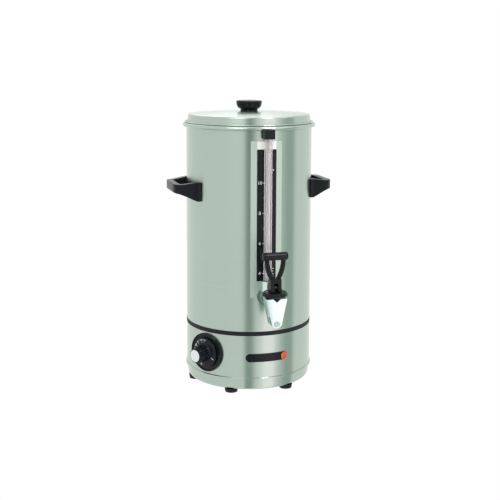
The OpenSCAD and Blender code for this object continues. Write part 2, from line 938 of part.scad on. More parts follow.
module gauge_top_washer() {
    color("#3a3b3d") outside_tank(seat_gap) intersection() {
        outward(0, bolt_z) difference() {
            disc(washer_r, 0, tank_d);
            disc(bolt_r + fit_gap, 0, tank_d);
        }
        disc(tank_r + washer_room() - seat_gap, 0, total_h);
    }
}

module gauge_top_bolt() {
    color("silver") difference() {
        union() {
            inside_tank(seat_gap) outward(0, bolt_z)
                disc(bolt_head_r, tank_in_r - bolt_head_h, tank_r);
            outward(0, bolt_z)
                disc(bolt_r, tank_in_r - bolt_head_h, glass_axis - glass_r - 2 * fit_gap);
        }
        outward(0, bolt_z) disc(bolt_bore_r, 0, tank_d);
    }
}

module gauge_bottom_nut() {
    recess_top = boss_z + gland_seal_h + part_gap;
    color("#d4dad8") at_glass() difference() {
        disc(gland_nut_r, gland_nut_z, gland_nut_top_z);
        disc(boss_r + seat_gap, gland_nut_z - cut, recess_top);
        disc(glass_r + fit_gap, recess_top - cut, gland_nut_top_z + cut);
        translate([0, glass_out + tank_r, 0])
            disc(tank_r + plate_t + strip_t + part_gap, 0, total_h);
    }
}

module gauge_bottom_seal() {
    color("#2a2b2d") at_glass()
        ring(boss_r - seat_gap, glass_r + seat_gap, boss_z + seat_gap, boss_z + gland_seal_h);
}

// Tap

module at_tap() {
    translate([0, -tap_axis, 0]) children();
}

module spout_outline() {
    hull() {
        translate([0, spout_z + spout_end_r]) circle(spout_end_r, $fn = hull_fn);
        translate([-spout_w / 2, bonnet_z - spout_top_drop]) square([spout_w, spout_top_drop]);
    }
}

module tap_body() {
    front = tap_axis + spout_depth / 2;
    color("#dfe4e2") difference() {
        union() {
            outward(0, tap_z) disc(shank_r, tank_in_r - shank_inside, tap_axis);
            outward(0, 0) translate([0, 0, tap_axis - spout_depth / 2])
                linear_extrude(spout_depth) spout_outline();
            at_tap() disc(barrel_r, tap_z - barrel_drop, bonnet_z);
            at_glass() disc(boss_r, tap_z, boss_z);
        }
        outward(0, tap_z) disc(water_r, tank_in_r - shank_inside - cut, tap_axis);
        at_tap() disc(chamber_r, seat_z, bonnet_z + cut);
        at_tap() disc(outlet_r, spout_z - cut, seat_z + cut);
        at_glass() disc(glass_r + fit_gap, socket_z, boss_z + cut);
        at_glass() disc(riser_bore_r, tap_z, socket_z + cut);
        outward(0, spout_z + spout_disc_rise + spout_disc_depth)
            disc(spout_disc_r, front - spout_disc_depth, front + cut);
        outward(0, 0) translate([0, 0, front - notch_depth]) linear_extrude(notch_depth + cut)
            polygon([[-notch_w / 2, bonnet_z + cut], [-notch_w / 2, bonnet_z],
                [0, bonnet_z - notch_h], [notch_w / 2, bonnet_z], [notch_w / 2, bonnet_z + cut]]);
    }
}

module tap_rose() {
    color("#d4dad8") outside_tank(seat_gap) difference() {
        outward(0, tap_z) {
            disc(rose_d / 2, 0, tank_r + rose_t - rose_lip);
            disc(rose_d / 2 - rose_lip, 0, tank_r + rose_t);
        }
        outward(0, tap_z) disc(shank_r + fit_gap, 0, tank_d);
        translate([-gland_nut_r - part_gap, -tank_d, gland_nut_z - part_gap])
            cube([2 * (gland_nut_r + part_gap), tank_d, rose_d]);
    }
}

module tap_back_nut() {
    nut_front = sqrt(pow(tank_in_r, 2) - pow(tank_seal_r, 2)) - tank_seal_t;
    color("#c9a959") outward(0, tap_z) difference() {
        translate([0, 0, nut_front - back_nut_h]) cylinder(r = back_nut_r, h = back_nut_h, $fn = 6);
        disc(shank_r + run_gap, 0, tank_d);
    }
    color("#3a3b3d") inside_tank(seat_gap) outward(0, tap_z) difference() {
        disc(tank_seal_r, nut_front + seat_gap, tank_r);
        disc(shank_r + run_gap, 0, tank_d);
    }
}

module tap_bonnet() {
    color("#17181a") at_tap() difference() {
        translate([0, 0, bonnet_z]) rotate_extrude() polygon([
            [0, -plug_h], [plug_r, -plug_h], [plug_r, seat_gap / 2], [barrel_r, seat_gap / 2],
            [bonnet_d / 2 - bonnet_h / 4, bonnet_h / 4],
            [bonnet_d / 2, bonnet_h / 2], [bonnet_d / 2, bonnet_h * 3 / 4],
            [bonnet_d / 2 - bonnet_h / 4, bonnet_h], [0, bonnet_h]
        ]);
        disc(stem_r + run_gap, bonnet_z - plug_h - cut, bonnet_top_z + cut);
    }
}

module tap_stem() {
    color("silver") at_tap() difference() {
        union() {
            disc(stem_r, seat_z + part_gap + cup_hollow + seat_gap, pin_z);
            translate([-eye_w / 2, 0, pin_z]) rotate([0, 90, 0]) cylinder(r = eye_r, h = eye_w);
        }
        translate([-eye_w, 0, pin_z]) rotate([0, 90, 0])
            cylinder(r = pin_r + run_gap, h = 2 * eye_w);
    }
}

module tap_seat_cup() {
    foot = seat_z + part_gap;
    color("#c9542e") at_tap() difference() {
        disc(cup_r, foot, foot + cup_h);
        disc(stem_r + run_gap, foot + cup_hollow, foot + cup_h + cut);
        disc(cup_r - cup_lip, foot - cut, foot + cup_lip / 2);
    }
}

function spring_point(turn) = [
    spring_r * cos(360 * turn), spring_r * sin(360 * turn),
    spring_z + (spring_top_z - spring_z) * turn / spring_curls
];
spring_path = [
    for (i = [0 : spring_curls * spring_rings]) spring_point(i / spring_rings)
];
spring_least_gap = min([
    for (i = [0 : len(spring_path) - 1 - spring_rings / 2])
        for (k = [i + spring_rings / 2 : len(spring_path) - 1])
            norm(spring_path[i] - spring_path[k]) - 2 * spring_wire_r
]);
echo(spring_least_gap = spring_least_gap);

module tap_spring() {
    color("silver") at_tap() tube_along(spring_path, spring_wire_r, spring_sides);
}

// Point of the cam that faces the bonnet when the lever tilts by angle a. A cam of this form
// lifts the pin by cam_rate for each degree.
function cam_point(a) =
    let (reach = pin_rise - part_gap + cam_rate * a)
    reach * [-sin(a), -cos(a)] + cam_radius * [-cos(a), sin(a)];

module lever_side() {
    polygon([
        [neck_depth / 2, part_gap - pin_rise],
        for (a = [0 : cam_step : lever_tilt]) cam_point(a),
        [-neck_depth / 2, toe_h], [-neck_depth / 2, neck_h], [neck_depth / 2, neck_h]
    ]);
}

// Axis of a leg, from inside the neck to inside the bar
function lever_leg_path() =
    let (bar_z = lever_h - pin_rise - lever_bar_r)
    let (root = [lever_neck_w / 2 - lever_leg_root_in, lever_leg_root_h])
    let (top = [lever_bar_l / 2 - lever_leg_in, bar_z])
    [for (s = lever_leg_shares)
        [root.x + s.x * (top.x - root.x), 0, root.y + s.y * (top.y - root.y)]];

module lever_leg() {
    tube_along(smooth(lever_leg_path(), lever_leg_steps), lever_leg_r, lever_leg_sides);
}

module tap_lever() {
    bar_z = lever_h - pin_rise - lever_bar_r;
    color("#151618") at_tap() translate([0, 0, pin_z]) difference() {
        union() {
            translate([-lever_neck_w / 2, 0, 0]) rotate([90, 0, 90])
                linear_extrude(lever_neck_w) lever_side();
            lever_leg();
            mirror([1, 0, 0]) lever_leg();
            translate([-lever_bar_l / 2, 0, bar_z]) rotate([0, 90, 0]) rotate_extrude()
                polygon([
                    [0, 0], [lever_bar_r - lever_bar_end, 0], [lever_bar_r, lever_bar_end],
                    [lever_bar_r, lever_bar_l - lever_bar_end],
                    [lever_bar_r - lever_bar_end, lever_bar_l], [0, lever_bar_l]
                ]);
        }
        translate([-slot_w / 2, -tap_out, -tap_out]) cube([slot_w, 2 * tap_out, tap_out + slot_h]);
        translate([-lever_bar_l, 0, 0]) rotate([0, 90, 0])
            cylinder(r = pin_r + run_gap, h = 2 * lever_bar_l);
    }
}

module lever_pin() {
    color("silver") at_tap() translate([-lever_neck_w / 2, 0, pin_z]) rotate([0, 90, 0])
        cylinder(r = pin_r, h = lever_neck_w);
}

// Handles

module at_handle_screws(sides = [-90, 90]) {
    for (side = sides) for (leg = [-1, 1])
        outward(side + leg * handle_screw_angle, handle_z) children();
}

module handle(side) {
    bar_r = handle_bar_h / 2;
    bar_out = tank_r + handle_reach - bar_r;
    root_in = tank_r - handle_root;
    color("#17181a") difference() {
        rotate([0, 0, side]) translate([0, 0, handle_z]) {
            for (leg = [-1, 1]) hull() {
                for (end = [-1, 1])
                    translate([leg * handle_spread / 2, -root_in, end * (handle_foot_h / 2 - handle_corner)])
                        rotate([90, 0, 0])
                        cylinder(r = handle_pad_w / 2, h = handle_corner, $fn = hull_fn);
                translate([leg * handle_bar_l / 2, -bar_out, handle_bar_rise])
                    sphere(bar_r, $fn = hull_fn);
            }
            translate([-handle_bar_l / 2, -bar_out, handle_bar_rise]) rotate([0, 90, 0])
                cylinder(r = bar_r, h = handle_bar_l);
        }
        disc(tank_r + seat_gap, -cut, total_h);
        at_handle_screws([side])
            disc(handle_screw_r, tank_r - cut, tank_r + handle_screw_bite + part_gap);
    }
}

module handle_screws() {
    color("silver") at_handle_screws() {
        disc(handle_screw_r - run_gap, tank_in_r - handle_screw_head_h, tank_r + handle_screw_bite);
        disc(handle_screw_head_r, tank_in_r - handle_screw_head_h - sheet / 2, tank_in_r - sheet / 2);
    }
}

lid_shell();
lid_locating_ring();
lid_knob();
lid_knob_screw();
tank();
insulating_band();
base_drum();
base_pan();
for (i = [1 : foot_count]) foot(i);
foot_screws();
tie_rods();
tie_rod_nuts();
heating_element();
element_nuts();
element_gaskets();
thermostat_body();
thermostat_pocket();
thermostat_bulb();
thermostat_screws();
capillary_tube();
cutout_body();
reset_button();
dial_bezel();
control_knob();
knob_cap();
knob_spindle();
label_plate();
pilot_lamp_lens();
pilot_lamp_body();
terminal_block();
wiring_leads();
earth_stud();
cord_gland();
cord_gland_nut();
gauge_backplate();
scale_strip();
gauge_glass();
gauge_top_cap();
gauge_top_bolt();
gauge_top_washer();
gauge_bottom_nut();
gauge_bottom_seal();
tap_body();
tap_rose();
tap_back_nut();
tap_bonnet();
tap_stem();
tap_seat_cup();
tap_spring();
tap_lever();
lever_pin();
handle(-90);  // handle_left
handle(90);  // handle_right
handle_screws();
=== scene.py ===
import json
import math

import bmesh
import bpy
from mathutils import Matrix, Vector

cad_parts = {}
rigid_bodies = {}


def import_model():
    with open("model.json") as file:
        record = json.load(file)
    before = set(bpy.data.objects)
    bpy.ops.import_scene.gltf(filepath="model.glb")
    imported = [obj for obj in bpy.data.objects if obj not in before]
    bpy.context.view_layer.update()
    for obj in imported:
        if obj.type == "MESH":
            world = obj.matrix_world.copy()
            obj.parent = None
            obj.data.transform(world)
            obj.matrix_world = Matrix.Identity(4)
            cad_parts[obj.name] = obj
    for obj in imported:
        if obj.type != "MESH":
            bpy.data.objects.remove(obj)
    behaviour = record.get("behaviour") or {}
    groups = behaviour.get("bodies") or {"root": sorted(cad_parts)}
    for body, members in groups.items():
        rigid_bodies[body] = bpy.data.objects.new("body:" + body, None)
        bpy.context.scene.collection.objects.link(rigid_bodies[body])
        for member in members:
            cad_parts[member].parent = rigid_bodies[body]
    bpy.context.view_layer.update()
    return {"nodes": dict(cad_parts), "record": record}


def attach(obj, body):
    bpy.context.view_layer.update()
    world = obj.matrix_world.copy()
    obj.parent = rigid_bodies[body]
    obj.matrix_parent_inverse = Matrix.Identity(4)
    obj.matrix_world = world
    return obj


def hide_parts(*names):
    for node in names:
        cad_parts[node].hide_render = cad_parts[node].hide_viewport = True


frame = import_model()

nodes = frame["nodes"]


def deselectAll():
    bpy.ops.object.select_all(action="DESELECT")


deselectAll()
print("frame loaded")

# Camera: the tap points a little to the right of it, as in the photograph

photoWidth = 500
cameraSettings = {
    "focalPixels": 969.8,
    "distance": 1.737,
    "height": 0.588,
    "turnDegrees": -15.71,
    "downDegrees": 6.86,
    "rollDegrees": 0.229,
    "axisPixel": 248.8,
    "centrePixel": 170.0,
    "sensor": 36.0,
}


def addCamera(c):
    # It looks a little down and its lens is shifted, which keeps the urn's sides nearly upright
    turn = math.radians(c["turnDegrees"])
    bpy.ops.object.camera_add(
        location=(math.sin(turn) * c["distance"], -math.cos(turn) * c["distance"], c["height"]))
    camera = bpy.context.object
    camera.name = "photoCamera"
    facing = (Matrix.Rotation(turn, 3, "Z")
              @ Matrix.Rotation(math.radians(90 - c["downDegrees"]), 3, "X")
              @ Matrix.Rotation(math.radians(c["rollDegrees"]), 3, "Z"))
    camera.rotation_euler = facing.to_euler()
    camera.data.sensor_width = c["sensor"]
    camera.data.lens = c["focalPixels"] / photoWidth * c["sensor"]
    camera.data.shift_x = 0.5 - c["axisPixel"] / photoWidth
    camera.data.shift_y = c["centrePixel"] / photoWidth - 0.5
    bpy.context.scene.camera = camera


addCamera(cameraSettings)
print("camera set")

# Materials


def newMaterial(name):
    material = bpy.data.materials.new(name)
    material.use_nodes = True
    tree = material.node_tree
    return material, tree, tree.nodes["Principled BSDF"]


def add(tree, kind, settings=None, **sockets):
    node = tree.nodes.new(kind)
    for key, value in (settings or {}).items():
        setattr(node, key, value)
    for key, value in sockets.items():
        node.inputs[key].default_value = value
    return node


def objectPoint(tree, scale=(1, 1, 1)):
    place = tree.nodes.new("ShaderNodeTexCoord")
    mapping = tree.nodes.new("ShaderNodeMapping")
    mapping.inputs["Scale"].default_value = scale
    tree.links.new(place.outputs["Object"], mapping.inputs["Vector"])
    return mapping.outputs["Vector"]


def shadeBy(tree, shader, s, source, stops=(0.3, 0.7)):
    # One pattern sets both the colour and the roughness
    ramp = tree.nodes.new("ShaderNodeValToRGB")
    for element, place, colour in zip(ramp.color_ramp.elements, stops, (s["dark"], s["light"])):
        element.position = place
        element.color = (*colour, 1)
    tree.links.new(source, ramp.inputs["Fac"])
    tree.links.new(ramp.outputs["Color"], shader.inputs["Base Color"])
    low, high = s["roughness"]
    rough = add(tree, "ShaderNodeMapRange", **{"To Min": low, "To Max": high})
    tree.links.new(source, rough.inputs["Value"])
    tree.links.new(rough.outputs["Result"], shader.inputs["Roughness"])


def bumpBy(tree, shader, source, strength, distance):
    bump = add(tree, "ShaderNodeBump", Strength=strength, Distance=distance)
    tree.links.new(source, bump.inputs["Height"])
    tree.links.new(bump.outputs["Normal"], shader.inputs["Normal"])


def roundGrain(tree, fine, along):
    # Distance from the urn's axis and height run fast, the way round runs slowly
    point = tree.nodes.new("ShaderNodeTexCoord").outputs["Object"]
    split = tree.nodes.new("ShaderNodeSeparateXYZ")
    tree.links.new(point, split.inputs[0])
    flat = tree.nodes.new("ShaderNodeCombineXYZ")
    tree.links.new(split.outputs["X"], flat.inputs["X"])
    tree.links.new(split.outputs["Y"], flat.inputs["Y"])
    length = add(tree, "ShaderNodeVectorMath", {"operation": "LENGTH"})
    tree.links.new(flat.outputs[0], length.inputs[0])
    both = add(tree, "ShaderNodeMath", {"operation": "ADD"})
    tree.links.new(length.outputs["Value"], both.inputs[0])
    tree.links.new(split.outputs["Z"], both.inputs[1])
    grain = tree.nodes.new("ShaderNodeCombineXYZ")
    tree.links.new(both.outputs[0], grain.inputs["Z"])
    tree.links.new(split.outputs["X"], grain.inputs["X"])
    tree.links.new(split.outputs["Y"], grain.inputs["Y"])
    mapping = tree.nodes.new("ShaderNodeMapping")
    mapping.inputs["Scale"].default_value = (along, along, fine)
    tree.links.new(grain.outputs[0], mapping.inputs["Vector"])
    return mapping.outputs["Vector"]


def brushedSteel(name, s):
    material, tree, shader = newMaterial(name)
    grain = add(tree, "ShaderNodeTexNoise", Scale=1.0, Detail=3.0, Roughness=0.6)
    tree.links.new(roundGrain(tree, s["grainFine"], s["grainAlong"]), grain.inputs["Vector"])
    clouds = add(tree, "ShaderNodeTexNoise", Scale=s["cloudScale"], Detail=2.0)
    tree.links.new(objectPoint(tree), clouds.inputs["Vector"])
    mixed = add(tree, "ShaderNodeMix", {"data_type": "FLOAT"}, Factor=0.35)
    tree.links.new(grain.outputs["Fac"], mixed.inputs["A"])
    tree.links.new(clouds.outputs["Fac"], mixed.inputs["B"])
    shadeBy(tree, shader, s, mixed.outputs["Result"], (0.35, 0.65))
    bumpBy(tree, shader, grain.outputs["Fac"], s["bump"], 0.0001)
    shader.inputs["Metallic"].default_value = 1.0
    if s["anisotropic"] > 0:
        shader.inputs["Anisotropic"].default_value = s["anisotropic"]
        shader.inputs["Anisotropic Rotation"].default_value = 0.25
        tangent = add(tree, "ShaderNodeTangent", {"direction_type": "RADIAL", "axis": "Z"})
        tree.links.new(tangent.outputs["Tangent"], shader.inputs["Tangent"])
    return material


def plainMetal(name, s):
    material, tree, shader = newMaterial(name)
    noise = add(tree, "ShaderNodeTexNoise", Scale=s["scale"], Detail=4.0, Roughness=0.6)
    tree.links.new(objectPoint(tree, s.get("stretch", (1, 1, 1))), noise.inputs["Vector"])
    shadeBy(tree, shader, s, noise.outputs["Fac"])
    bumpBy(tree, shader, noise.outputs["Fac"], s["bump"], 0.0002)
    shader.inputs["Metallic"].default_value = 1.0
    return material


def moulded(name, s):
    material, tree, shader = newMaterial(name)
    fine = add(tree, "ShaderNodeTexNoise", Scale=s["grain"], Detail=5.0, Roughness=0.65)
    tree.links.new(objectPoint(tree), fine.inputs["Vector"])
    broad = add(tree, "ShaderNodeTexNoise", Scale=s["cloudScale"], Detail=3.0)
    tree.links.new(objectPoint(tree), broad.inputs["Vector"])
    shadeBy(tree, shader, s, broad.outputs["Fac"])
    bumpBy(tree, shader, fine.outputs["Fac"], s["bump"], 0.0002)
    shader.inputs["Specular IOR Level"].default_value = s.get("specular", 0.5)
    shader.inputs["Coat Weight"].default_value = s.get("coat", 0.0)
    shader.inputs["Coat Roughness"].default_value = s.get("coatRoughness", 0.1)
    return material


steelSettings = {
    "grainFine": 2600.0, "grainAlong": 6.0, "cloudScale": 3.0,
    "dark": (0.435, 0.525, 0.458), "light": (0.465, 0.555, 0.488),
    "roughness": (0.24, 0.28), "bump": 0.002, "anisotropic": 0.6,
}
lidSteelSettings = {
    "grainFine": 2600.0, "grainAlong": 6.0, "cloudScale": 3.0,
    "dark": (0.440, 0.520, 0.455), "light": (0.470, 0.550, 0.485),
    "roughness": (0.24, 0.30), "bump": 0.003, "anisotropic": 0.5,
}
plateSteelSettings = {
    "grainFine": 2600.0, "grainAlong": 6.0, "cloudScale": 3.0,
    "dark": (0.53, 0.63, 0.56), "light": (0.56, 0.66, 0.59),
    "roughness": (0.50, 0.60), "bump": 0.008, "anisotropic": 0.0,
}
platedSettings = {
    "scale": 220.0, "dark": (0.48, 0.50, 0.50), "light": (0.62, 0.64, 0.63),
    "roughness": (0.25, 0.42), "bump": 0.10,
}
chromeSettings = {
    "scale": 40.0, "dark": (0.66, 0.80, 0.77), "light": (0.72, 0.86, 0.83),
    "roughness": (0.26, 0.32), "bump": 0.01,
}
plugSettings = {
    "scale": 300.0, "dark": (0.42, 0.50, 0.49), "light": (0.54, 0.62, 0.61),
    "roughness": (0.35, 0.50), "bump": 0.10,
}
roseSettings = {
    "scale": 60.0, "dark": (0.26, 0.33, 0.32), "light": (0.36, 0.43, 0.42),
    "roughness": (0.20, 0.28), "bump": 0.03,
}
# Near black metal: painted shade on the stem and the lever pin, where they show through the lever's slot
shadedStemSettings = {
    "scale": 200.0, "dark": (0.02, 0.022, 0.023), "light": (0.05, 0.053, 0.055),
    "roughness": (0.35, 0.45), "bump": 0.05,
}
brassSettings = {
    "scale": 160.0, "dark": (0.50, 0.33, 0.12), "light": (0.68, 0.48, 0.20),
    "roughness": (0.25, 0.45), "bump": 0.12,
}
copperSettings = {
    "scale": 160.0, "dark": (0.50, 0.20, 0.11), "light": (0.72, 0.34, 0.20),
    "roughness": (0.22, 0.45), "bump": 0.08,
}
capSettings = {
    "scale": 30.0, "stretch": (6, 6, 60), "dark": (0.74, 0.77, 0.77), "light": (0.86, 0.89, 0.89),
    "roughness": (0.28, 0.42), "bump": 0.10,
}
sheathSettings = {
    "scale": 120.0, "dark": (0.20, 0.19, 0.18), "light": (0.36, 0.35, 0.33),
    "roughness": (0.35, 0.55), "bump": 0.15,
}
blackSettings = {
    "grain": 900.0, "cloudScale": 26.0,
    "dark": (0.0030, 0.0052, 0.0062), "light": (0.0062, 0.0098, 0.0115),
    "roughness": (0.26, 0.36), "bump": 0.04, "specular": 0.17, "coat": 0.02, "coatRoughness": 0.2,
}
glossSettings = {
    "grain": 500.0, "cloudScale": 22.0,
    "dark": (0.0026, 0.0050, 0.0062), "light": (0.0055, 0.0090, 0.0108),
    "roughness": (0.18, 0.26), "bump": 0.02, "specular": 0.18, "coat": 0.03, "coatRoughness": 0.10,
}
rubberSettings = {
    "grain": 700.0, "cloudScale": 40.0,
    "dark": (0.005, 0.006, 0.0065), "light": (0.011, 0.013, 0.014),
    "roughness": (0.50, 0.65), "bump": 0.15, "specular": 0.25,
}
siliconeSettings = {
    "grain": 500.0, "cloudScale": 30.0, "dark": (0.50, 0.20, 0.14), "light": (0.62, 0.28, 0.20),
    "roughness": (0.45, 0.60), "bump": 0.12,
}
ceramicSettings = {
    "grain": 600.0, "cloudScale": 35.0, "dark": (0.66, 0.62, 0.52), "light": (0.76, 0.72, 0.62),
    "roughness": (0.30, 0.48), "bump": 0.10, "coat": 0.2,
}
redSettings = {
    "grain": 500.0, "cloudScale": 30.0, "dark": (0.42, 0.03, 0.02), "light": (0.56, 0.05, 0.03),
    "roughness": (0.28, 0.40), "bump": 0.08, "coat": 0.1,
}
printSettings = {
    "grain": 900.0, "cloudScale": 60.0, "dark": (0.72, 0.77, 0.78), "light": (0.84, 0.88, 0.89),
    "roughness": (0.40, 0.55), "bump": 0.04,
}
# Pale sheet colour: real on the strip's head, and behind the tube partly a painted highlight on the
# glass
paleSheetAndHighlightSettings = {
    "grain": 600.0, "cloudScale": 40.0, "dark": (0.86, 0.88, 0.82), "light": (0.93, 0.95, 0.90),
    "roughness": (0.25, 0.35), "bump": 0.02, "coat": 0.3,
}
lensSettings = {
    "facetScale": 375.0, "dark": (0.50, 0.045, 0.015), "light": (0.78, 0.14, 0.035),
    "roughness": (0.12, 0.22), "bump": 0.25, "clear": 0.25, "coat": 0.4,
    "subsurface": 0.2, "subsurfaceRadius": (0.004, 0.001, 0.0005),
}
glassSettings = {
    "streakScale": 60.0, "stretch": (6, 6, 0.3), "dark": (0.84, 0.80, 0.83), "light": (0.93, 0.90, 0.92),
    "roughness": (0.02, 0.06), "clear": 0.9, "ior": 1.47,
}


def lampLens(name, s):
    material, tree, shader = newMaterial(name)
    facets = add(tree, "ShaderNodeTexVoronoi", Scale=s["facetScale"])
    tree.links.new(objectPoint(tree), facets.inputs["Vector"])
    shadeBy(tree, shader, s, facets.outputs["Distance"], (0.05, 0.75))
    bumpBy(tree, shader, facets.outputs["Distance"], s["bump"], 0.0003)
    shader.inputs["Transmission Weight"].default_value = s["clear"]
    shader.inputs["Subsurface Weight"].default_value = s["subsurface"]
    shader.inputs["Subsurface Radius"].default_value = s["subsurfaceRadius"]
    shader.inputs["Coat Weight"].default_value = s["coat"]
    return material


def milkyGlass(name, s):
    material, tree, shader = newMaterial(name)
    streaks = add(tree, "ShaderNodeTexNoise", Scale=s["streakScale"], Detail=3.0)
    tree.links.new(objectPoint(tree, s["stretch"]), streaks.inputs["Vector"])
    shadeBy(tree, shader, s, streaks.outputs["Fac"])
    shader.inputs["Transmission Weight"].default_value = s["clear"]
    shader.inputs["IOR"].default_value = s["ior"]
    return material


finishes = {
    "stainless": brushedSteel("brushedStainless", steelSettings),
    "plated_steel": plainMetal("platedSteel", platedSettings),
    "chrome_plate": plainMetal("satinChrome", chromeSettings),
    "brass": plainMetal("turnedBrass", brassSettings),
    "copper": plainMetal("drawnCopper", copperSettings),
    "aluminium_cap": plainMetal("brushedAluminium", capSettings),
    "element_sheath": plainMetal("elementSheath", sheathSettings),
    "black_moulding": moulded("satinBlackMoulding", blackSettings),
    "black_gloss": moulded("glossBlackMoulding", glossSettings),
    "red_moulding": moulded("redMoulding", redSettings),
    "orange_lens": lampLens("orangeRedLens", lensSettings),
    "cream_ceramic": moulded("creamCeramic", ceramicSettings),
    "black_rubber": moulded("blackRubber", rubberSettings),
    "silicone": moulded("redSilicone", siliconeSettings),
    "clear_glass": milkyGlass("sightGlass", glassSettings),
}
lidSteel = brushedSteel("turnedLidSteel", lidSteelSettings)
plateSteel = brushedSteel("satinPlateSteel", plateSteelSettings)
plugMetal = plainMetal("bluntPlug", plugSettings)
shadedStem = plainMetal("shadedStem", shadedStemSettings)
roseMetal = plainMetal("dullRose", roseSettings)
whitePrint = moulded("whitePrint", printSettings)
paleSheetAndHighlight = moulded("paleSheetAndHighlight", paleSheetAndHighlightSettings)

# These nodes keep the slot of the record and get a finish of their own
ownFinish = {
    "lid_shell": lidSteel, "lid_locating_ring": lidSteel, "gauge_backplate": plateSteel,
    # The stem and the pin are made near black: painted shade inside the lever's slot
    "tap_stem": shadedStem, "lever_pin": shadedStem, "tap_rose": roseMetal,
}
slotOf = {part["node"]: part["material_slot"] for part in frame["record"]["subparts"]}
for nodeName, obj in nodes.items():
    obj.data.materials.clear()
    obj.data.materials.append(ownFinish.get(nodeName, finishes[slotOf[nodeName]]))
print("materials made:", len(bpy.data.materials))

# Modelling helpers


def activate(obj):
    deselectAll()
    obj.select_set(True)
    bpy.context.view_layer.objects.active = obj


def pick(obj, vertexTest):
    # Selects in edit mode, by the places of the corners
    mesh = bmesh.from_edit_mesh(obj.data)
    for part in list(mesh.verts) + list(mesh.edges) + list(mesh.faces):
        part.select = False
    bpy.context.tool_settings.mesh_select_mode = (True, False, False)
    for vert in mesh.verts:
        vert.select = bool(vertexTest(vert.co))
    mesh.select_flush(True)
    bmesh.update_edit_mesh(obj.data)


def editAll():
    # Enters edit mode on the active piece, with all of it selected
    bpy.ops.object.mode_set(mode="EDIT")
    bpy.ops.mesh.select_all(action="SELECT")


def leaveEdit():
    bpy.ops.object.mode_set(mode="OBJECT")


def raised(offset):
    # Extrudes what is selected and moves it by the offset
    bpy.ops.mesh.extrude_region_move(TRANSFORM_OT_translate={"value": offset})


def resized(factors, centre):
    bpy.ops.transform.resize(value=factors, center_override=centre)


def rotated(degrees, axis, centre=(0, 0, 0)):
    bpy.ops.transform.rotate(value=math.radians(degrees), orient_axis=axis, center_override=centre)


def turnAbout(degrees, axis):
    return Matrix.Rotation(math.radians(degrees), 4, axis)


def finishMesh(obj, smoothDegrees=35):
    activate(obj)
    editAll()
    bpy.ops.mesh.remove_doubles(threshold=0.000005)
    bpy.ops.mesh.normals_make_consistent(inside=False)
    leaveEdit()
    bpy.ops.object.shade_smooth_by_angle(angle=math.radians(smoothDegrees))


def settle(obj, place=None):
    # Puts the place into the mesh and leaves the object at the origin
    activate(obj)
    if place is not None:
        obj.matrix_world = place
    bpy.ops.object.transform_apply(location=True, rotation=True, scale=True)


def bevelEdges(obj, width, segments=3, degrees=30):
    activate(obj)
    bevel = obj.modifiers.new("roundedEdges", "BEVEL")
    bevel.width = width
    bevel.segments = segments
    bevel.limit_method = "ANGLE"
    bevel.angle_limit = math.radians(degrees)
    bpy.ops.object.modifier_apply(modifier="roundedEdges")


def turned(name, profile, sides=72):
    # A round piece, drawn out of a disc ring by ring. The profile holds radius and height
    radius, height = profile[0]
    bpy.ops.mesh.primitive_circle_add(vertices=sides, radius=radius, fill_type="NGON",
                                      location=(0, 0, height))
    obj = bpy.context.object
    obj.name = name
    editAll()
    for r, z in profile[1:]:
        raised((0, 0, z - height))
        k = r / radius
        resized((k, k, 1), (0, 0, z))
        radius, height = r, z
    leaveEdit()
    settle(obj)
    return obj


def dress(obj, material, body, slot, *replaced):
    obj.data.materials.clear()
    obj.data.materials.append(material)
    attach(obj, body)
    if replaced:
        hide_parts(*replaced)


# Lid knob: a bowl on a collar, with a slightly dished top

lidKnobSettings = {
    "base": 0.4855, "radius": 0.0230, "height": 0.0190,
    "outline": [
        (0.66, 0.0), (0.68, 0.02), (0.68, 0.13), (0.67, 0.155), (0.65, 0.17), (0.665, 0.19),
        (0.74, 0.235), (0.82, 0.30), (0.885, 0.39), (0.935, 0.49), (0.970, 0.60), (0.990, 0.71),
        (1.0, 0.82), (1.0, 0.91), (0.99, 0.955), (0.965, 0.985), (0.93, 1.0), (0.90, 0.99),
        (0.86, 0.965), (0.70, 0.945), (0.40, 0.935), (0.10, 0.93),
    ],
}


def makeLidKnob(s):
    profile = [(r * s["radius"], s["base"] + z * s["height"]) for r, z in s["outline"]]
    knob = turned("lidKnob", profile)
    finishMesh(knob)
    dress(knob, finishes["black_moulding"], "lid", "black_moulding", "lid_knob")


makeLidKnob(lidKnobSettings)
print("lid knob modelled")

# Temperature dial: a marked skirt and a fluted grip

dialSettings = {
    "turn": -56.0, "height": 0.0675, "face": 0.115, "gap": 0.0003,
    "skirtRadius": 0.0265, "skirtThickness": 0.003, "skirtEdge": 0.0008, "skirtCorner": 0.0003,
    "gripBase": 0.0150, "gripTop": 0.01275, "gripLength": 0.024, "gripSteps": (0.3, 0.65),
    # Steps outwards and upwards at the grip's foot, and inwards and downwards at its head
    "gripFoot": [(0.0022, 0.0), (0.0008, 0.0004), (0.0, 0.0016)],
    "gripHead": [(0.0, 0.0016), (0.0003, 0.0007), (0.0010, 0.0001), (0.0018, 0.0)],
    "recessRadius": 0.0108, "recessSlope": 0.0002, "recessDepth": 0.0009, "recessEnd": 0.002,
    "flutes": 20, "fluteDepth": 0.05, "fluteEnds": (0.001, 0.0005), "fluteReach": 0.0012,
    "numbers": ["110", "100", "90", "80", "70", "60", "50", "40", "30"],
    "firstNumber": 92.0, "numberStep": 20.0, "numberRadius": 0.0222, "numberSize": 0.0046,
    "tickRadius": (0.0180, 0.0196), "tickWidth": 0.0006, "printHeight": 0.00012,
    "dashAngle": -22.0, "dashRadius": 0.0205, "dashSize": (0.0052, 0.0013),
}


def dialPlace(s, outwards):
    # Turns +Z to look outwards at the dial's angle
    return (turnAbout(s["turn"], "Z") @ Matrix.Translation((0, -outwards, s["height"]))
            @ turnAbout(90, "X"))


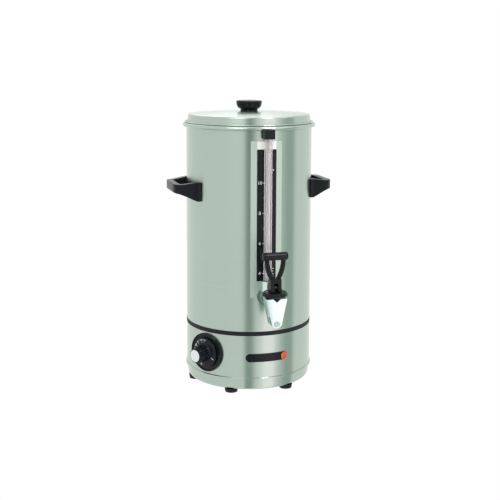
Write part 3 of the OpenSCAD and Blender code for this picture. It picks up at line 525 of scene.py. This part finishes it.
def makeDial(s):
    t, r, edge, corner = s["skirtThickness"], s["skirtRadius"], s["skirtEdge"], s["skirtCorner"]
    base, top, length = s["gripBase"], s["gripTop"], s["gripLength"]
    end = t + length
    profile = [(r - edge, 0.0), (r, edge), (r, t - edge), (r - corner, t - corner), (r - edge, t)]
    profile += [(base + out, t + up) for out, up in s["gripFoot"]]
    profile += [(base + (top - base) * share, t + length * share) for share in s["gripSteps"]]
    profile += [(top - inwards, end - down) for inwards, down in s["gripHead"]]
    floor = end - s["recessDepth"]
    profile += [(s["recessRadius"], end), (s["recessRadius"] - s["recessSlope"], floor),
                (s["recessEnd"], floor)]
    dial = turned("dial", profile, sides=s["flutes"] * 8)
    bpy.ops.object.mode_set(mode="EDIT")
    k = s["flutes"]
    foot, head = t + s["fluteEnds"][0], end - s["fluteEnds"][1]
    # The flutes are drawn in, and then their middles by half as much again
    for low, share in ((0.35, 1.0), (0.8, 0.5)):
        pick(dial, lambda co: foot < co.z < head
             and co.xy.length > top - s["fluteReach"]
             and math.cos(k * math.atan2(co.y, co.x)) > low)
        size = 1 - s["fluteDepth"] * share
        resized((size, size, 1), (0, 0, 0))
    leaveEdit()
    finishMesh(dial, 40)
    settle(dial, dialPlace(s, s["face"] + s["gap"]))
    dress(dial, finishes["black_gloss"], "dial", "black_gloss", "control_knob")


def textPiece(words, size, thick):
    bpy.ops.object.text_add()
    obj = bpy.context.object
    obj.data.body = words
    obj.data.size = size
    obj.data.extrude = thick / 2
    obj.data.align_x = "CENTER"
    obj.data.align_y = "CENTER"
    obj.data.resolution_u = 3
    bpy.ops.object.convert(target="MESH")
    return bpy.context.object


def dash(length, width, thick):
    # A printed dash with cut corners
    bpy.ops.mesh.primitive_plane_add(size=1)
    obj = bpy.context.object
    editAll()
    resized((length, width, 1), (0, 0, 0))
    bpy.ops.mesh.bevel(offset=width * 0.2, segments=2, affect="VERTICES")
    bpy.ops.mesh.select_all(action="SELECT")
    bpy.ops.transform.translate(value=(0, 0, -thick / 2))
    raised((0, 0, thick))
    leaveEdit()
    return obj


def joinAll(pieces, name):
    deselectAll()
    for piece in pieces:
        piece.select_set(True)
    bpy.context.view_layer.objects.active = pieces[0]
    bpy.ops.object.join()
    joined = bpy.context.object
    joined.name = name
    return joined


def makeDialMarks(s):
    place = dialPlace(s, s["face"] + s["gap"] + s["skirtThickness"])
    thick = s["printHeight"]
    marks = []

    def put(piece, angle, radius, turn):
        a = math.radians(angle)
        spot = Matrix.Translation((radius * math.cos(a), radius * math.sin(a), 0))
        settle(piece, place @ spot @ turnAbout(turn, "Z"))
        marks.append(piece)

    for i, words in enumerate(s["numbers"]):
        angle = s["firstNumber"] + i * s["numberStep"]
        put(textPiece(words, s["numberSize"], thick), angle, s["numberRadius"], angle - 90)
        inner, outer = s["tickRadius"]
        put(dash(outer - inner, s["tickWidth"], thick), angle, (inner + outer) / 2, angle)
    put(dash(*s["dashSize"], thick), s["dashAngle"], s["dashRadius"], s["dashAngle"])
    joined = joinAll(marks, "dialMarks")
    dress(joined, whitePrint, "dial", "black_gloss")


makeDial(dialSettings)
makeDialMarks(dialSettings)
print("dial modelled")

# Litre marks on the gauge's black strip

gaugeSettings = {
    "stripRadius": 0.1140, "litreTen": 0.3702, "litre": 0.026, "low": 4, "high": 10,
    "numberX": -0.0122, "numberSize": 0.0078, "tickX": -0.0056, "tickLength": 0.0040,
    "tickWidth": 0.0010, "oddShare": 0.6, "printHeight": 0.00014,
    "fullMark": 0.392, "fullX": 0.0098, "fullSize": (0.0050, 0.0016),
    "smallMarks": [0.2040, 0.2085, 0.2130, 0.2175, 0.2220], "smallX": 0.0112,
    "smallSize": (0.0034, 0.0009),
}


def onStrip(s, x, z):
    # A place on the bent strip, facing outwards, with its own +X to the right
    radius = s["stripRadius"]
    turn = Matrix.Rotation(x / radius, 4, "Z")
    return turn @ Matrix.Translation((0, -radius, z)) @ turnAbout(90, "X")


def makeGaugeMarks(s):
    thick = s["printHeight"]
    marks = []

    def put(piece, x, z):
        settle(piece, onStrip(s, x, z))
        marks.append(piece)

    for litre in range(s["low"], s["high"] + 1):
        z = s["litreTen"] + (litre - 10) * s["litre"]
        share = 1.0 if litre % 2 == 0 else s["oddShare"]
        put(dash(s["tickLength"] * share, s["tickWidth"], thick),
            s["tickX"] + s["tickLength"] * (1 - share) / 2, z)
        if litre % 2 == 0:
            put(textPiece(str(litre), s["numberSize"], thick), s["numberX"], z)
    put(dash(*s["fullSize"], thick), s["fullX"], s["fullMark"])
    for z in s["smallMarks"]:
        put(dash(*s["smallSize"], thick), s["smallX"], z)
    joined = joinAll(marks, "gaugeMarks")
    dress(joined, whitePrint, "housing", "black_gloss")


makeGaugeMarks(gaugeSettings)
print("gauge marks modelled")

# Tap lever: the pivot block keeps the CAD's form with softer edges, under fuller legs and grip

leverSettings = {
    "axis": 0.164, "pin": 0.201, "edge": 0.0009,
    # Height over the pin where the CAD's legs are cut off
    "cut": 0.0157,
    "grip": 0.053, "gripRadius": 0.0069, "gripLength": 0.0438, "gripWaist": 0.965,
    # Shares of the grip's radius and half length
    "gripEnd": [(0.15, 1.0), (0.60, 0.995), (0.80, 0.975), (0.92, 0.935), (0.985, 0.87), (1.0, 0.79)],
    "legRadius": 0.0042, "sides": 20,
    "leg": [(0.0046, 0.0120), (0.0062, 0.0165), (0.0088, 0.0215), (0.0111, 0.0275),
            (0.0129, 0.0340), (0.0140, 0.0410), (0.0146, 0.0480), (0.0149, 0.0530)],
    # The wall that closes the block's slot at the back
    "wallPlace": (0, 0.0061, 0.0040), "wallSize": (0.0120, 0.0016, 0.0150),
}


def joinFlats(degrees):
    bpy.ops.mesh.dissolve_limited(angle_limit=math.radians(degrees))


def keptCopy(nodeName, name):
    # A copy of a CAD mesh with its split corners merged and its flat faces joined up
    activate(nodes[nodeName])
    bpy.ops.object.duplicate()
    copy = bpy.context.object
    copy.name = name
    # The node's own properties stay with the node
    for key in list(copy.keys()):
        del copy[key]
    bpy.ops.object.parent_clear(type="CLEAR_KEEP_TRANSFORM")
    editAll()
    bpy.ops.mesh.remove_doubles(threshold=0.00001)
    joinFlats(0.5)
    leaveEdit()
    return copy


def makeLeg(s, side):
    # Drawn upwards section by section, each widened by the leg's slope
    (x, z), r = s["leg"][0], s["legRadius"]
    bpy.ops.mesh.primitive_circle_add(vertices=s["sides"], radius=r, fill_type="NGON",
                                      location=(side * x, 0, z))
    leg = bpy.context.object
    settle(leg)
    editAll()
    wide = 1.0
    for nextX, nextZ in s["leg"][1:]:
        raised((side * (nextX - x), 0, nextZ - z))
        slope = (nextX - x) / (nextZ - z)
        nextWide = math.sqrt(1 + slope * slope)
        resized((nextWide / wide, 1, 1), (side * nextX, 0, nextZ))
        wide = nextWide
        x, z = nextX, nextZ
    leaveEdit()
    finishMesh(leg, 40)
    return leg


def makeLever(s):
    block = keptCopy("tap_lever", "tapLever")
    bpy.ops.object.mode_set(mode="EDIT")
    top = s["pin"] + s["cut"]
    pick(block, lambda co: co.z > top)
    bpy.ops.mesh.delete(type="VERT")
    bpy.ops.mesh.select_all(action="SELECT")
    bpy.ops.mesh.fill_holes(sides=0)
    joinFlats(1)
    leaveEdit()
    r, half, waist = s["gripRadius"], s["gripLength"] / 2, s["gripWaist"]
    profile = ([(r * a, -half * b) for a, b in s["gripEnd"]]
               + [(r * waist, -half * 0.3), (r * waist, half * 0.3)]
               + [(r * a, half * b) for a, b in reversed(s["gripEnd"])])
    grip = turned("grip", profile, sides=40)
    finishMesh(grip, 50)
    settle(grip, Matrix.Translation((0, 0, s["grip"])) @ turnAbout(90, "Y"))
    bpy.ops.mesh.primitive_cube_add(size=1)
    wall = bpy.context.object
    settle(wall, Matrix.Translation(s["wallPlace"]) @ Matrix.Diagonal((*s["wallSize"], 1)))
    parts = [grip, makeLeg(s, 1), makeLeg(s, -1), wall]
    for part in parts:
        settle(part, Matrix.Translation((0, -s["axis"], s["pin"])) @ part.matrix_world)
    lever = joinAll([block] + parts, "tapLever")
    bevelEdges(lever, s["edge"], 3, 40)
    bpy.ops.object.shade_smooth_by_angle(angle=math.radians(35))
    dress(lever, finishes["black_gloss"], "lever", "black_moulding", "tap_lever")


makeLever(leverSettings)
print("tap lever modelled")

# Side handles: each is drawn round in sections, from one foot to the other

handleSettings = {
    "height": 0.348, "edge": 0.0034,
    # Across, outwards, height above the foot's middle, turn of the section, thickness, section height
    "sections": [
        (0.0460, 0.1021, 0.0012, -24.2, 0.0130, 0.0335), (0.0457, 0.1040, 0.0012, 18.0, 0.0130, 0.0335),
        (0.0440, 0.1110, 0.0020, 14.0, 0.0128, 0.0300), (0.0420, 0.1190, 0.0034, 14.0, 0.0126, 0.0250),
        (0.0398, 0.1275, 0.0046, 16.0, 0.0122, 0.0200), (0.0378, 0.1335, 0.0056, 26.0, 0.0120, 0.0170),
        (0.0350, 0.1372, 0.0062, 50.0, 0.0118, 0.0160), (0.0310, 0.1386, 0.0065, 76.0, 0.0116, 0.0156),
        (0.0250, 0.1391, 0.0066, 90.0, 0.0114, 0.0154), (0.0000, 0.1391, 0.0066, 90.0, 0.0114, 0.0152),
    ],
}


def makeHandle(s, side, name, replaced):
    # The section stands across the way it goes; turn 0 looks straight out from the tank
    out = s["sections"]
    back = [(-x, y, z, 180 - turn, thick, tall) for x, y, z, turn, thick, tall in reversed(out[:-1])]
    bpy.ops.mesh.primitive_plane_add(size=1)
    obj = bpy.context.object
    obj.name = name
    editAll()
    rotated(90, "X")
    x, y, z, turn, thick, tall = out[0]
    resized((thick, 1, tall), (0, 0, 0))
    rotated(-turn, "Z")
    bpy.ops.transform.translate(value=(x, y, z))
    for nextX, nextY, nextZ, nextTurn, nextThick, nextTall in out[1:] + back:
        raised((nextX - x, nextY - y, nextZ - z))
        here = (nextX, nextY, nextZ)
        rotated(turn, "Z", here)
        resized((nextThick / thick, 1, nextTall / tall), here)
        rotated(-nextTurn, "Z", here)
        x, y, z, turn, thick, tall = nextX, nextY, nextZ, nextTurn, nextThick, nextTall
    leaveEdit()
    bevelEdges(obj, s["edge"], 4, 50)
    finishMesh(obj, 40)
    settle(obj, Matrix.Translation((0, 0, s["height"])) @ turnAbout(side, "Z"))
    dress(obj, finishes["black_moulding"], "housing", "black_moulding", replaced)


makeHandle(handleSettings, 90, "leftHandle", "handle_left")
makeHandle(handleSettings, -90, "rightHandle", "handle_right")
print("handles modelled")

# Cap block at the head of the gauge, with its corners rounded over

topCapSettings = {"edge": 0.0022}


def makeTopCap(s):
    cap = keptCopy("gauge_top_cap", "gaugeTopCap")
    bevelEdges(cap, s["edge"], 4, 60)
    finishMesh(cap, 40)
    dress(cap, finishes["black_moulding"], "housing", slotOf["gauge_top_cap"], "gauge_top_cap")


makeTopCap(topCapSettings)
print("gauge cap modelled")

# Bare pale labels: one runs up behind the tube as its white backing and also paints a highlight that
# brightens the glass, one fills the head of the black strip

labelThickness = 0.0003
labelSettings = [
    # Behind the tube: part white backing, part painted highlight that brightens the glass
    {"name": "tubeBackingAndHighlight", "radius": 0.1142, "from": -0.0049, "to": 0.0080,
     "foot": 0.2012, "top": 0.4270},
    {"name": "headLabel", "radius": 0.1136, "from": -0.0170, "to": 0.0170,
     "foot": 0.4274, "top": 0.4408},
]


def makeLabel(s):
    # A thin upright face, spun round the tank's axis from the label's right end to its left one
    bpy.ops.mesh.primitive_plane_add(size=1)
    label = bpy.context.object
    label.name = s["name"]
    editAll()
    rotated(-90, "Y")
    rotated(-90, "Z")
    leaveEdit()
    turn = s["to"] / s["radius"]
    for vert in label.data.vertices:
        out = s["radius"] if vert.co.y < 0 else s["radius"] - labelThickness
        height = s["foot"] if vert.co.z < 0 else s["top"]
        vert.co = (out * math.sin(turn), -out * math.cos(turn), height)
    editAll()
    bpy.ops.mesh.spin(steps=10, angle=(s["to"] - s["from"]) / s["radius"],
                      center=(0, 0, 0), axis=(0, 0, 1))
    leaveEdit()
    finishMesh(label, 30)
    dress(label, paleSheetAndHighlight, "housing", "black_gloss")


for labelPlan in labelSettings:
    makeLabel(labelPlan)
print("labels modelled")

# Tap body: the CAD's form with a flush front and rounded edges

bodySettings = {"front": 0.1760, "slack": 0.00005, "merge": 0.00003, "edge": 0.0010}


def makeTapBody(s):
    body = keptCopy("tap_body", "tapBody")
    bpy.ops.object.mode_set(mode="EDIT")
    pick(body, lambda co: co.y < -s["front"] - s["slack"])
    resized((1, 0, 1), (0, -s["front"], 0))
    bpy.ops.mesh.select_all(action="SELECT")
    bpy.ops.mesh.remove_doubles(threshold=s["merge"])
    joinFlats(1)
    leaveEdit()
    bevelEdges(body, s["edge"], 3, 50)
    finishMesh(body, 40)
    dress(body, finishes["chrome_plate"], "housing", "chrome_plate", "tap_body")


makeTapBody(bodySettings)
print("tap body modelled")

# Painted shade: a dark triangle let into the top of the spout's front, under the bonnet, in place of the
# shadow in its V notch

notchShadeSettings = {"place": (0, -0.1763, 0.1822), "size": (0.0075, 0.0012, 0.0036), "edge": 0.0003}


def makeBonnetPoint(s):
    # A black triangle: painted shade where the notch would be dark
    bpy.ops.mesh.primitive_cylinder_add(vertices=3, radius=1, depth=1)
    point = bpy.context.object
    point.name = "notchShade"
    settle(point, Matrix.Translation(s["place"]) @ Matrix.Diagonal((*s["size"], 1))
           @ turnAbout(90, "X") @ turnAbout(180, "Z"))
    bevelEdges(point, s["edge"], 2, 30)
    finishMesh(point)
    dress(point, finishes["black_moulding"], "housing", "black_moulding")


makeBonnetPoint(notchShadeSettings)
print("bonnet point modelled")

# A blunt round plug in the front of the spout

plugShape = {
    "front": 0.1760, "height": 0.1410, "thick": 0.0006,
    "outline": [(0.0053, 0.0), (0.0053, 0.0003), (0.0052, 0.0005), (0.0049, 0.0006),
                (0.002385, 0.0006), (0.00212, 0.0004)],
}


def makePlug(s):
    plug = turned("spoutPlug", s["outline"], sides=40)
    finishMesh(plug)
    settle(plug, Matrix.Translation((0, s["thick"] - s["front"], s["height"])) @ turnAbout(90, "X"))
    dress(plug, plugMetal, "housing", "chrome_plate")


makePlug(plugShape)
print("spout plug modelled")

# Stage: floor, backdrop, cards that only the metal reflects, and soft lights


def seenRays(tree):
    # 1 for camera, glossy and transmission rays, 0 for all others
    path = tree.nodes.new("ShaderNodeLightPath")
    result = path.outputs["Is Camera Ray"]
    for other in ("Is Glossy Ray", "Is Transmission Ray"):
        larger = add(tree, "ShaderNodeMath", {"operation": "MAXIMUM"})
        tree.links.new(result, larger.inputs[0])
        tree.links.new(path.outputs[other], larger.inputs[1])
        result = larger.outputs[0]
    return result


def mixBy(tree, share, first, second):
    mix = tree.nodes.new("ShaderNodeMixShader")
    tree.links.new(share, mix.inputs["Fac"])
    tree.links.new(first.outputs[0], mix.inputs[1])
    tree.links.new(second.outputs[0], mix.inputs[2])
    return mix.outputs[0]


def stageMaterial(name, colour):
    # Seen rays get the plain colour without any shade, and the rest meet a dull surface
    material, tree, shader = newMaterial(name)
    shader.inputs["Base Color"].default_value = (*colour, 1)
    shader.inputs["Roughness"].default_value = 0.9
    shader.inputs["Specular IOR Level"].default_value = 0.0
    glow = add(tree, "ShaderNodeEmission", Color=(*colour, 1), Strength=1.0)
    mixed = mixBy(tree, seenRays(tree), shader, glow)
    tree.links.new(mixed, tree.nodes["Material Output"].inputs["Surface"])
    return material


def glowMaterial(name, colour, strength):
    material, tree = newMaterial(name)[:2]
    glow = add(tree, "ShaderNodeEmission", Color=(*colour, 1), Strength=strength)
    tree.links.new(glow.outputs[0], tree.nodes["Material Output"].inputs["Surface"])
    return material


stageSettings = {
    "floorSize": 80.0, "floorHeight": -0.0002, "floorColour": (1.0, 1.0, 1.0),
    "worldColour": (1.0, 1.0, 1.0), "seenStrength": 1.0, "lightStrength": 0.72,
}
cardShape = {"sideRadius": 0.112, "away": 0.8, "top": 0.9, "floorLift": 0.0004}
# Each card fills the reflection in a stretch of the urn's side, in degrees from its nearest line.
# It stands at the same distance from the side as the others, and a strip on the floor leads to it
cardSettings = [
    {"name": "cardFrontSoft", "from": -3.4, "to": -2.2,
     "colour": (0.62, 0.66, 0.62), "strength": 1.0},
    {"name": "cardFront", "from": -2.2, "to": 3.6,
     "colour": (0.28, 0.33, 0.31), "strength": 1.0, "floorStrength": 1.45},
    {"name": "cardFrontEnd", "from": 3.6, "to": 6.0,
     "colour": (0.66, 0.70, 0.66), "strength": 1.0},
    {"name": "cardGlowSoft", "from": 9.6, "to": 13.5,
     "colour": (1.0, 0.93, 0.95), "strength": 1.22},
    {"name": "cardGlow", "from": 13.5, "to": 24.5,
     "colour": (1.0, 0.90, 0.94), "strength": 1.52},
    {"name": "cardRightSoft", "from": 29.0, "to": 34.0,
     "colour": (0.70, 0.75, 0.71), "strength": 1.0},
    {"name": "cardRight", "from": 34.0, "to": 44.5,
     "colour": (0.50, 0.57, 0.54), "strength": 1.0},
]
lightAim = (0, 0, 0.25)
lightSettings = [
    {"name": "keyLight", "place": (-1.6, -2.1, 2.4), "size": 1.8, "power": 26.0},
    {"name": "fillLight", "place": (2.2, -1.4, 1.6), "size": 1.6, "power": 10.0},
    {"name": "glintLight", "place": (0.55, -1.2, 1.7), "size": 0.45, "power": 9.0},
    {"name": "backLight", "place": (0.3, 2.2, 2.2), "size": 2.0, "power": 16.0},
]


def makeStage(s):
    bpy.ops.mesh.primitive_plane_add(size=s["floorSize"], location=(0, 0, s["floorHeight"]))
    floor = bpy.context.object
    floor.name = "floor"
    floor.data.materials.append(stageMaterial("paleFloor", s["floorColour"]))
    world = bpy.data.worlds.new("studio")
    bpy.context.scene.world = world
    world.use_nodes = True
    tree = world.node_tree
    tree.nodes.clear()
    colour = (*s["worldColour"], 1)
    seen = add(tree, "ShaderNodeBackground", Color=colour, Strength=s["seenStrength"])
    light = add(tree, "ShaderNodeBackground", Color=colour, Strength=s["lightStrength"])
    output = tree.nodes.new("ShaderNodeOutputWorld")
    tree.links.new(mixBy(tree, seenRays(tree), light, seen), output.inputs["Surface"])


def reflectedWay(angle, radius, distance):
    # Where a level ray from the camera goes after it meets the side, seen from above
    spot = Vector((radius * math.sin(angle), -radius * math.cos(angle)))
    normal = spot.normalized()
    way = (spot - Vector((0.0, -distance))).normalized()
    return spot, way - 2 * way.dot(normal) * normal


def cardPlane(name, corners, material):
    # A plane laid on four places, then set to be seen in reflections alone
    bpy.ops.mesh.primitive_plane_add(size=1)
    card = bpy.context.object
    card.name = name
    for vert, place in zip(card.data.vertices, (corners[0], corners[1], corners[3], corners[2])):
        vert.co = place
    card.data.materials.append(material)
    for ray in ("camera", "diffuse", "transmission", "shadow"):
        setattr(card, "visible_" + ray, False)


def makeCard(s, shape):
    turn = Matrix.Rotation(math.radians(cameraSettings["turnDegrees"]), 2)
    ends = []
    for key in ("from", "to"):
        spot, way = reflectedWay(math.radians(s[key]), shape["sideRadius"], cameraSettings["distance"])
        ends.append((turn @ spot, turn @ (spot + way * shape["away"])))
    (nearA, farA), (nearB, farB) = ends
    top, lift = shape["top"], shape["floorLift"]
    standing = [(*farA, 0.0), (*farB, 0.0), (*farB, top), (*farA, top)]
    lying = [(*nearA, lift), (*nearB, lift), (*farB, lift), (*farA, lift)]
    cardPlane(s["name"], standing, glowMaterial(s["name"] + "Colour", s["colour"], s["strength"]))
    floorStrength = s.get("floorStrength", s["strength"])
    floorGlow = glowMaterial(s["name"] + "FloorColour", s["colour"], floorStrength)
    cardPlane(s["name"] + "Floor", lying, floorGlow)


def makeLight(s):
    bpy.ops.object.light_add(type="AREA", location=s["place"])
    lamp = bpy.context.object
    lamp.name = s["name"]
    lamp.data.shape = "DISK"
    lamp.data.size = s["size"]
    lamp.data.energy = s["power"]
    aim = Vector(lightAim) - Vector(s["place"])
    lamp.rotation_euler = aim.to_track_quat("-Z", "Y").to_euler()


makeStage(stageSettings)
for card in cardSettings:
    makeCard(card, cardShape)
for light in lightSettings:
    makeLight(light)
bpy.context.scene.view_settings.view_transform = "Standard"
print("stage set")
